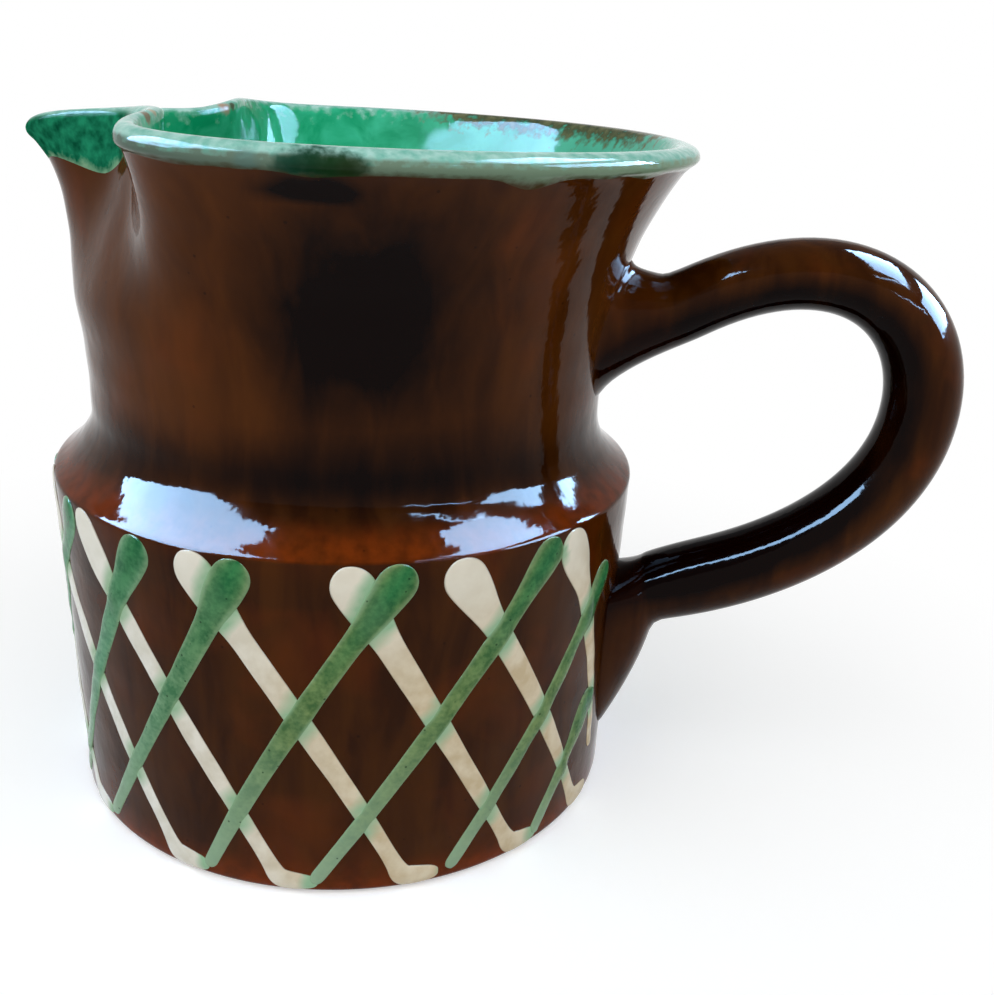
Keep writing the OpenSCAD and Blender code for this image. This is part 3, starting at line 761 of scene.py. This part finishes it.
def run_down(from_lip):
    """How far the green glaze has run down below the middle of the bead."""
    coat = ease(abs(from_lip) / TIP_BARE_ANGLE) * coat_share(from_lip)
    if from_lip < 0:
        coat *= FAR_COAT_SHARE
    ragged = noise.noise(Vector((cos(from_lip), sin(from_lip), 0)) * RIM_R / RAGGED_LENGTH)
    runs = sum(depth * hump(wrapped(from_lip - angle), half) for angle, half, depth in GLAZE_RUNS)
    return RUN_PLAIN + RUN_RAGGED * ragged + RUN_LIP * coat + runs


def outside_r(z):
    """Radius of the clay's outside below the middle of the rim's bead."""
    drop = (BEAD_Z - z) / (BEAD_H / 2 - LINING_T)
    if drop > 1:
        return plain_r(z)
    bulge = (WALL_T / 2 + BEAD_OUT - LINING_T) * sqrt(1 - drop * drop)
    return max(plain_r(BEAD_Z) - WALL_T / 2 + bulge, plain_r(z))


def lining_outline(skin):
    """Outline as (radius, height, way inwards from the rim's top, apron share, skin) out to the apron's
    edge. The apron's points get their place later, because its depth changes with the angle."""
    wall = [(r, z, BEAD_H / 2 + BEAD_Z - z, 0, skin) for r, z in reversed(inside(skin)[1:])]
    bead = [bead_point(angle, skin) + (BEAD_H * (angle - BEAD_TOP) / pi, 0, skin)
            for angle in evenly(BEAD_INNER, 0, BEAD_N)]
    apron = [(outside_r(BEAD_Z) + skin, BEAD_Z - share * MM, -BEAD_H / 2, share, skin * (1 - share ** 2))
             for share in APRON_SHARES]
    return wall + bead + apron


def lining_piece(glaze):
    outline = lining_outline(LINING_T) + list(reversed(lining_outline(-BITE)))
    bm = thrown([(r, z) for r, z, *_ in outline])
    for name in LINING_LAYERS:
        bm.verts.layers.float.new(name)
    for vertex, (_, _, *values) in zip(bm.verts, outline):
        for name, value in zip(LINING_LAYERS, values):
            vertex[bm.verts.layers.float[name]] = value
    spun(bm)
    depth, apron, skin = (bm.verts.layers.float[name] for name in LINING_LAYERS)
    marks = bm.verts.layers.float_color.new("marks")
    for vertex in bm.verts:
        turn = atan2(vertex.co.y, vertex.co.x)
        from_lip = wrapped(turn - LIP_TURN)
        r = hypot(vertex.co.x, vertex.co.y)
        z = vertex.co.z
        if vertex[apron]:
            z = BEAD_Z - vertex[apron] * run_down(from_lip)
            r = outside_r(z) + vertex[skin]
        vertex.co = pinched(r, turn, z)
        vertex[marks] = lining_marks(from_lip, vertex[depth], vertex[apron])
    for name in LINING_LAYERS:
        bm.verts.layers.float.remove(bm.verts.layers.float[name])
    finished(bm, "green_lining", [glaze])


def lining_marks(from_lip, depth, apron):
    """Marks of the lining: how pale it is over the bead, the lip's coat, the brown fringe at the back and
    how far the coat has thinned. depth is the way inwards from the rim's top."""
    pale = 1 - ease((depth - PALE_FROM) / PALE_FADE)
    outer = 1 if apron else ease((-depth - COAT_FROM) / COAT_FADE)
    back = ease((FRINGE_HALF - abs(wrapped(from_lip - FRINGE_ANGLE))) / FRINGE_FADE)
    fringe = back * (1 - ease(abs(depth) / FRINGE_DEPTH))
    thinned = STRIP_SHARE * ease((-depth - THIN_FROM) / THIN_FADE)
    return pale, outer * coat_share(from_lip), fringe, mix(thinned, 1, apron)


def rim_spot(from_lip, angle):
    """Point on the lined bead, by the angle from the lip and the angle round the bead."""
    r, z = bead_point(angle, LINING_T)
    return pinched(r, from_lip + LIP_TURN, z)


# Making the handle
REACH = HANDLE_OUT_R - WAIST_R
ROOT_AT = Vector((WAIST_R, ROOT_Z))
BEND_AT = Vector((HANDLE_OUT_R, HANDLE_OUT_Z))
LOW_AT = Vector((plain_r(LOW_Z), LOW_Z))
UPPER_ARMS = (
    ROOT_AT,
    ROOT_AT + REACH * ROOT_ARM_SHARE * Vector((cos(ROOT_SLOPE), sin(ROOT_SLOPE))),
    BEND_AT + Vector((0, REACH * BEND_UP_ARM_SHARE)),
    BEND_AT,
)
LOWER_ARMS = (
    BEND_AT,
    BEND_AT - Vector((0, REACH * BEND_DOWN_ARM_SHARE)),
    LOW_AT + REACH * LOW_ARM_SHARE * Vector((cos(LOW_SLOPE), sin(LOW_SLOPE))),
    LOW_AT,
)


def curve(arms, share):
    """Point on a curve from its ends and the two arms that pull it between them."""
    start, start_arm, end_arm, end = arms
    rest = 1 - share
    return (start * rest ** 3 + start_arm * 3 * share * rest ** 2
            + end_arm * 3 * share * share * rest + end * share ** 3)


def middle(share):
    """Point (reach, height) on the bar's middle line at a share of the handle's length."""
    return curve(UPPER_ARMS, 2 * share) if share < 1 / 2 else curve(LOWER_ARMS, 2 * share - 1)


def bar_point(share, angle):
    """Point round the free bar at a share of the handle's length; angle 0 is its outer side."""
    ahead = (middle(share + STEP_SHARE) - middle(share - STEP_SHARE)).normalized()
    if share < 1 / 2:
        thick = mix(BAR_T, BEND_T, ease(2 * share))
    else:
        thick = mix(BEND_T, LOW_T, ease(2 * share - 1))
    deep = (ROOT_SWELL * exp(-share / SWELL_SHARE) + thick) / 2
    if cos(angle) < 0:
        deep -= LOW_DIP * hump(1 - share, DIP_SHARE)
    out = deep * cos(angle)
    place = middle(share)
    return Vector((place.x - out * ahead.y, -BAR_W / 2 * sin(angle), place.y + out * ahead.x))


def on_clay(y, z):
    """Point just inside the clay, on the side of the handle."""
    turn = asin(y / plain_r(z))
    return Vector((sqrt(clay_r(turn, z) ** 2 - y * y) - BITE, y, z))


def root_point(size, angle):
    up = ROOT_RISE if cos(angle) > 0 else ROOT_FALL
    return on_clay(-size * ROOT_W / 2 * sin(angle), ROOT_Z + size * up * cos(angle))


def tail_point(size, angle):
    down = TAIL_DROP if cos(angle) > 0 else LOW_RISE
    return on_clay(-size * ROOT_W / 2 * sin(angle), LOW_Z - size * down * cos(angle))


def blended(first, second, shares):
    return Vector([mix(*ends) for ends in zip(first, second, shares)])


def handle_point(station, angle):
    """Point and glaze marks by a station (stretch of the handle, share of that stretch)."""
    stretch, share = station
    # Painted shade: the handle's inner side is coloured darker
    inner = ease((INNER_SHADE_FROM - cos(angle)) / INNER_SHADE_FADE)
    if stretch == "root":
        return root_point(share, angle), (0, 0, 0, 1)
    if stretch == "upper blend":
        lift = share ** mix(*ROOT_LIFT_POWERS, (1 + cos(angle)) / 2)
        shares = (share ** ROOT_OUT_POWER, share ** ROOT_SIDE_POWER, lift)
        point = blended(root_point(1, angle), bar_point(FREE_SHARES[0], angle), shares)
        return point, (BLEND_THIN, inner, 0, 1)
    if stretch == "bar":
        # Painted shade: the lower arm is coloured darker towards its foot
        painted_dark = inner + LOW_SHADE * ease((share - LOW_SHADE_FROM) / LOW_SHADE_FADE)
        return bar_point(mix(*FREE_SHARES, share), angle), (0, painted_dark, 0, 1)
    if stretch == "lower blend":
        shares = (share ** TAIL_POWER, share, share)
        point = blended(bar_point(FREE_SHARES[1], angle), tail_point(1, angle), shares)
        return point, (BLEND_THIN, LOW_SHADE + inner, 0, 1)
    return tail_point(share, angle), (TAIL_THIN, LOW_SHADE + inner, 0, 1)


def handle_piece(glaze):
    blends = evenly(0, 1, BLEND_N)[1:-1]
    stations = [("root", share) for share in ROOT_SHARES]
    stations += [("upper blend", share) for share in blends]
    stations += [("bar", share) for share in evenly(0, 1, BAR_RINGS)]
    stations += [("lower blend", share) for share in blends]
    stations += [("tail", share) for share in reversed(ROOT_SHARES)]
    finished(swept(stations, BAR_N, handle_point), "handle", [glaze])


# Laying the slip lattice
Trail = namedtuple("Trail", "start run first last drag bow seed")
ROOT_HALF = asin((ROOT_W / 2 + WHITE_SLIP.width / 2 + ROOT_CLEAR) / BELLY_R)


def laid(start, run, drag, bow, seed):
    """A trail from its start angle and run. The handle's root stops one that meets it or starts it late."""
    start = wrapped(start)
    way = copysign(1, run)
    into = (-way * ROOT_HALF - start) / run
    past = (way * ROOT_HALF - start) / run
    if 0 < into < 1 < past:
        return Trail(start, run, 0, into, 0, bow, seed)
    if 0 < past < 1:
        return Trail(start, run, past, 1, drag, bow, seed)
    return Trail(start, run, 0, 1, drag, bow, seed)


def laid_round(first, run, drag, seed, places, runs, bows):
    """All trails of one slip, from the first one's angle and the shares of each."""
    return [laid(first - place * tau / len(places), run * share, drag, bow, number + seed)
            for number, (place, share, bow) in enumerate(zip(places, runs, bows))]


def path(trail, share):
    """Angle and height of a trail's middle line at a share of its own length."""
    bend = BEND_SHARE if trail.drag else 1
    past = max(0, share - bend)
    if trail.drag and abs(share - bend) < BEND_SOFT_SHARE:
        past = (share - bend + BEND_SOFT_SHARE) ** 2 / (4 * BEND_SOFT_SHARE)
    down = mix(trail.first, trail.last, (share - past) / bend)
    turn = trail.start + trail.run * (down + trail.bow * down * (1 - down))
    return turn + trail.drag * past / max(1 - bend, STEP_SHARE), mix(TRAIL_TOP_Z, TRAIL_FOOT_Z, down)


def beside(trail, share, side):
    """Angle and height of a point a distance to the side of a trail's middle line."""
    before = path(trail, share - STEP_SHARE)
    after = path(trail, share + STEP_SHARE)
    ahead = Vector(((after[0] - before[0]) * BELLY_R, after[1] - before[1])).normalized()
    turn, z = path(trail, share)
    return turn - ahead.y * side / BELLY_R, z + ahead.x * side


def on_belly(turn, z, height):
    """Point a height off the belly, or off the foot's rounding."""
    z = max(z, FOOT_CLEAR)
    tucked = FOOT_ROUND - sqrt(FOOT_ROUND ** 2 - max(0, FOOT_ROUND - z) ** 2)
    r = clay_r(turn, z) - tucked + height
    return Vector((r * cos(turn), r * sin(turn), z))


def trail_length(trail):
    return (trail.last - trail.first) * hypot(BELLY_R * trail.run, TRAIL_TOP_Z - TRAIL_FOOT_Z)


def rounded(along, width):
    """Share of its width that a round end has reached at a distance from its tip."""
    return sqrt(1 - (1 - clamp(2 * along / width)) ** 2)


def trail_width(trail, slip, share):
    """A round drop, the taper below it and a rounded foot, squeezed a little unevenly."""
    length = trail_length(trail)
    along = share * length
    tapered = ease((along / slip.drop_w - 1 / 2) / DROP_TAPER)
    plain = mix(slip.drop_w, mix(slip.width, slip.foot_w, share), tapered)
    if trail.drag:
        plain += FOOT_BLOB * hump(share - BEND_SHARE - BEND_SOFT_SHARE / 2, 2 * BEND_SOFT_SHARE)
    squeeze = 1 + SQUEEZE_SHARE * noise.noise(Vector((along / SQUEEZE_LENGTH, trail.seed, 0)))
    top = max(START_SHARE, rounded(along, slip.drop_w))
    foot = max(FOOT_SHARE, rounded(length - along, slip.foot_w))
    return plain * squeeze * top * foot


def middle_lines(trails):
    """Search tree over the trails' middle lines, with the trail and share of each of its points."""
    spots = [(trail, share) for trail in trails for share in evenly(0, 1, MIDDLE_N)]
    tree = kdtree.KDTree(len(spots))
    for number, spot in enumerate(spots):
        tree.insert(on_belly(*path(*spot), 0), number)
    tree.balance()
    return tree, spots


def nearest(lines, slip, turn, z):
    """Width of the trail nearest to a point of the belly, and the distance to its middle line."""
    tree, spots = lines
    _, number, away = tree.find(on_belly(turn, z, 0))
    trail, share = spots[number]
    return trail_width(trail, slip, share), away


def slip_height(slip, width):
    return slip.height * sqrt(width / slip.width)


def dome(across):
    """Height over a trail's section, from 1 in its middle, at 0, to 0 at its edge, at 1."""
    return max(0, 1 - across * across) ** (DOME_POWER / 2)


def white_under(turn, z):
    """Height of the white slip that lies under a point of the belly."""
    width, away = nearest(white_lines, WHITE_SLIP, turn, z)
    return slip_height(WHITE_SLIP, width) * dome(2 * away / (width * (1 + LAP_WIDER_SHARE)))


def trail_section(trail, slip, share, angle):
    """Where a point of a trail's section stands: angle, height up the jug, rise off its seat, crown."""
    width = trail_width(trail, slip, share)
    turn, z = beside(trail, share, width / 2 * cos(angle))
    if sin(angle) > 0:
        rise = slip_height(slip, width) * dome(cos(angle))
    else:
        rise = TRAIL_BITE * sin(angle)
    return turn, z, rise, max(0, sin(angle))


def white_point(trail, share, angle):
    """Point of a white trail, with its crown, its share and the copper that has bled in as marks."""
    turn, z, rise, crown = trail_section(trail, WHITE_SLIP, share, angle)
    green_width, away = nearest(green_lines, GREEN_SLIP, turn, z)
    copper = 1 - ease((away - green_width / 2) / COPPER_REACH)
    return on_belly(turn, z, rise), (crown, share, copper, 1)


def green_point(trail, share, angle):
    """Point of a green trail, with its crown, its share and the white slip under it as marks."""
    turn, z, rise, crown = trail_section(trail, GREEN_SLIP, share, angle)
    under = white_under(turn, z)
    return on_belly(turn, z, rise + under), (crown, share, clamp(under / WHITE_SLIP.height), 1)


def lattice(name, trails, point, finish):
    stations = [FOOT_FROM_SHARE * share ** DROP_CROWDING for share in evenly(0, 1, TRAIL_N)]
    stations += evenly(FOOT_FROM_SHARE, 1, FOOT_N)[1:]
    for number, trail in enumerate(trails, 1):
        bm = swept(stations, DOME_N, partial(point, trail))
        finished(bm, f"{name}_{number:02d}", [finish])


white_trails = laid_round(WHITE_FIRST, WHITE_RUN, WHITE_DRAG, WHITE_SEED,
                          WHITE_PLACE_SHARES, WHITE_RUN_SHARES, WHITE_BOW_SHARES)
green_trails = laid_round(GREEN_FIRST, -GREEN_RUN, 0, GREEN_SEED,
                          GREEN_PLACE_SHARES, GREEN_RUN_SHARES, GREEN_BOW_SHARES)
white_lines = middle_lines(white_trails)
green_lines = middle_lines(green_trails)
rim_spots = [(rim_spot(radians(from_lip), radians(angle)), size * MM, tint, strength)
             for from_lip, angle, size, tint, strength in RIM_MARKS]
brown_glaze = iron_brown_glaze()
body_piece(brown_glaze, bare_earthenware())
lining_piece(copper_green_glaze(rim_spots))
handle_piece(brown_glaze)
lattice("white_trail", white_trails, white_point, cream_slip())
lattice("green_trail", green_trails, green_point, copper_slip())


# Floor, backdrop, light and camera
FLOOR_R = 3
FLOOR_Z = -0.1 * MM
FLOOR_HOLE_R = FOOT_R * 0.85
FLOOR_NEAR_R = 0.1
FLOOR_LIFT = 0.4
FADE_FROM_R = 0.055
FADE_TO_R = 0.17
BACKDROP_H = 1.6
BACKDROP_LIGHT = 0.4
SOFT_WHITE = "#f6f9ff"
SKY_WHITE = "#a6d2ff"


def seen_white(tree):
    """1 on the rays by which the eye, or a reflection, sees the floor and the backdrop."""
    rays = node(tree, "LightPath").node.outputs
    seen = node(tree, "Math", {0: rays["Is Camera Ray"], 1: rays["Is Glossy Ray"]}, operation="MAXIMUM")
    return node(tree, "Math", {0: seen, 1: rays["Is Transmission Ray"]}, operation="MAXIMUM")


def pale_floor():
    """Matt white board. Away from the jug it fades to plain white, so no horizon shows, and from below
    it is clear."""
    material, tree, shader = finish_tree("matt_white_board")
    tree.nodes.remove(shader)
    place = node(tree, "TexCoord", out="Object")
    away = node(tree, "VectorMath", {0: place}, out="Value", operation="LENGTH")
    far = node(tree, "MapRange", {"Value": away, "From Min": FADE_FROM_R, "From Max": FADE_TO_R})
    seen = seen_white(tree)
    board = node(tree, "BsdfDiffuse", {"Color": linear("#e4e2de")})
    lift = node(tree, "Math", {0: seen, 1: FLOOR_LIFT}, operation="MULTIPLY")
    glow = node(tree, "Emission", {"Strength": lift})
    lifted_board = node(tree, "AddShader", {0: board, 1: glow})
    plain = node(tree, "Emission", {"Strength": 1})
    far_seen = node(tree, "Math", {0: far, 1: seen}, operation="MULTIPLY")
    top = node(tree, "MixShader", {0: far_seen, 1: lifted_board, 2: plain})
    below = node(tree, "NewGeometry", out="Backfacing")
    clear = node(tree, "BsdfTransparent")
    surface = node(tree, "MixShader", {0: below, 1: top, 2: clear})
    tree.links.new(surface, tree.nodes["Material Output"].inputs["Surface"])
    return material


def white_backdrop():
    """White cloth round the stage: plain white to the eye, a dimmer light to the jug."""
    material, tree, shader = finish_tree("white_backdrop_cloth")
    tree.nodes.remove(shader)
    strength = node(tree, "MapRange", {"Value": seen_white(tree), "To Min": BACKDROP_LIGHT, "To Max": 1})
    glow = node(tree, "Emission", {"Strength": strength})
    tree.links.new(glow, tree.nodes["Material Output"].inputs["Surface"])
    return material


def stage_piece(name, outline, material):
    bm = thrown(outline)
    spun(bm)
    piece = placed(bm, name, [material])


def softbox(name, azimuth, elevation, width, height, radiance, glints):
    """Area lamp 1 m from the jug; azimuth is counted from -Y towards +X. A lamp that glints shows only
    in the gloss, and one that doesn't only lights the colours."""
    data = bpy.data.lights.new(name, "AREA")
    data.shape = "RECTANGLE"
    data.size = width
    data.size_y = height
    data.energy = pi * width * height * radiance
    data.color = linear(SKY_WHITE if glints else SOFT_WHITE)[:3]
    lamp = bpy.data.objects.new(name, data)
    out = Vector((sin(azimuth) * cos(elevation), -cos(azimuth) * cos(elevation), sin(elevation)))
    turned = out.to_track_quat("Z", "Y").to_matrix().to_4x4()
    lamp.matrix_world = Matrix.Translation(out + Vector((0, 0, RIM_Z / 2))) @ turned
    lamp.visible_camera = False
    lamp.visible_diffuse = not glints
    lamp.visible_glossy = glints
    bpy.context.scene.collection.objects.link(lamp)


# The board stops under the foot, so that the sole can be looked at from below
stage_piece("floor", [(r, FLOOR_Z) for r in (FLOOR_HOLE_R, FLOOR_NEAR_R, FLOOR_R)], pale_floor())
stage_piece("backdrop", [(FLOOR_R, FLOOR_Z), (FLOOR_R, BACKDROP_H)], white_backdrop())
softbox("left_glint", radians(-66), radians(41), 0.85, 0.8, 150, True)
softbox("right_glint_high", radians(106), radians(54), 0.78, 0.36, 150, True)
softbox("right_glint_low", radians(102), radians(25), 0.85, 0.32, 140, True)
softbox("thin_glint_high", radians(62), radians(45), 0.5, 0.025, 150, True)
softbox("thin_glint_low", radians(54), radians(26), 0.5, 0.02, 150, True)
softbox("left_light", radians(-40), radians(48), 0.9, 0.9, 1.9, False)
softbox("right_light", radians(60), radians(42), 0.9, 0.9, 1.4, False)

world = bpy.data.worlds.new("studio")
world.use_nodes = True
world.node_tree.nodes["Background"].inputs["Color"].default_value = linear("#a3a8ac")
bpy.context.scene.world = world

CAMERA_AT = Vector((52.5, -183.0, 122.2)) * MM
HEADING = radians(98.22)
PITCH = radians(21.34)
ROLL = radians(3.15)
camera_data = bpy.data.cameras.new("camera")
camera_data.sensor_width = 36
camera_data.lens = 41.54
camera_data.clip_start = 0.01
camera = bpy.data.objects.new("camera", camera_data)
ahead = Vector((cos(HEADING) * cos(PITCH), sin(HEADING) * cos(PITCH), -sin(PITCH)))
facing = ahead.to_track_quat("-Z", "Y").to_matrix().to_4x4() @ Matrix.Rotation(ROLL, 4, "Z")
camera.matrix_world = Matrix.Translation(CAMERA_AT) @ facing
bpy.context.scene.collection.objects.link(camera)
bpy.context.scene.camera = camera
bpy.context.scene.view_settings.view_transform = "Standard"
